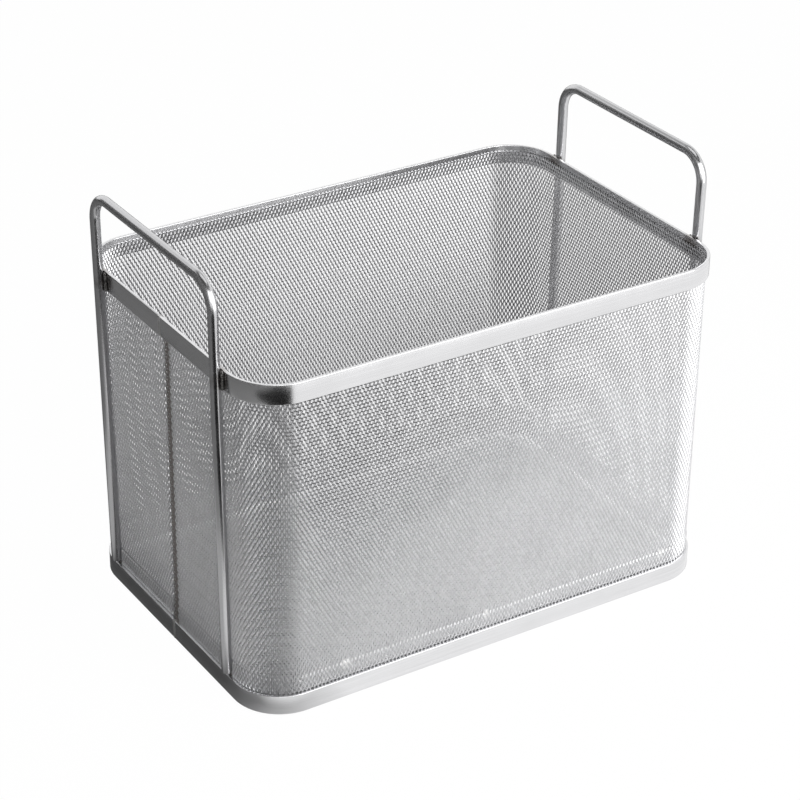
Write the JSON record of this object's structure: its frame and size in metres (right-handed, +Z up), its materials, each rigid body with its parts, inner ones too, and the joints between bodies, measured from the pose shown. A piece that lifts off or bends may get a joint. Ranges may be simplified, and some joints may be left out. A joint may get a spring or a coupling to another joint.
{
  "type": "pasta cooking basket",
  "caption": "Rectangular expanded-metal basket with rounded corners, flat steel strips round its rim and base, and a bent rod handle standing up at each end.",
  "frame": {"origin": "on the ground under the middle of the basket", "axes": "+Z up, +X along the basket's length towards its right end, -Y towards the front"},
  "size_m": [0.4384, 0.28, 0.3495],
  "materials": {
    "strip": "satin",
    "mesh": "plain rolled and expanded",
    "rod": "drawn and polished",
    "ground_weld": "ground flush",
    "raw_weld": "heat-darkened bead",
    "spot_weld": "bright pressed spot"
  },
  "bodies": {
    "root": {"rim_band": "strip", "base_band": "strip", "rim_butt_weld": "ground_weld", "base_butt_weld": "ground_weld", "wall_mesh": "mesh", "floor_mesh": "mesh", "left_handle": "rod", "right_handle": "rod", "left_front_foot_weld": "raw_weld", "left_front_rim_weld_front": "raw_weld", "left_front_rim_weld_rear": "raw_weld", "left_rear_foot_weld": "raw_weld", "left_rear_rim_weld_front": "raw_weld", "left_rear_rim_weld_rear": "raw_weld", "right_front_foot_weld": "raw_weld", "right_front_rim_weld_front": "raw_weld", "right_front_rim_weld_rear": "raw_weld", "right_rear_foot_weld": "raw_weld", "right_rear_rim_weld_front": "raw_weld", "right_rear_rim_weld_rear": "raw_weld", "front_spot_weld_left": "spot_weld", "front_spot_weld_middle": "spot_weld", "front_spot_weld_right": "spot_weld", "rear_spot_weld_left": "spot_weld", "rear_spot_weld_middle": "spot_weld", "rear_spot_weld_right": "spot_weld"}
  },
  "joints": []
}
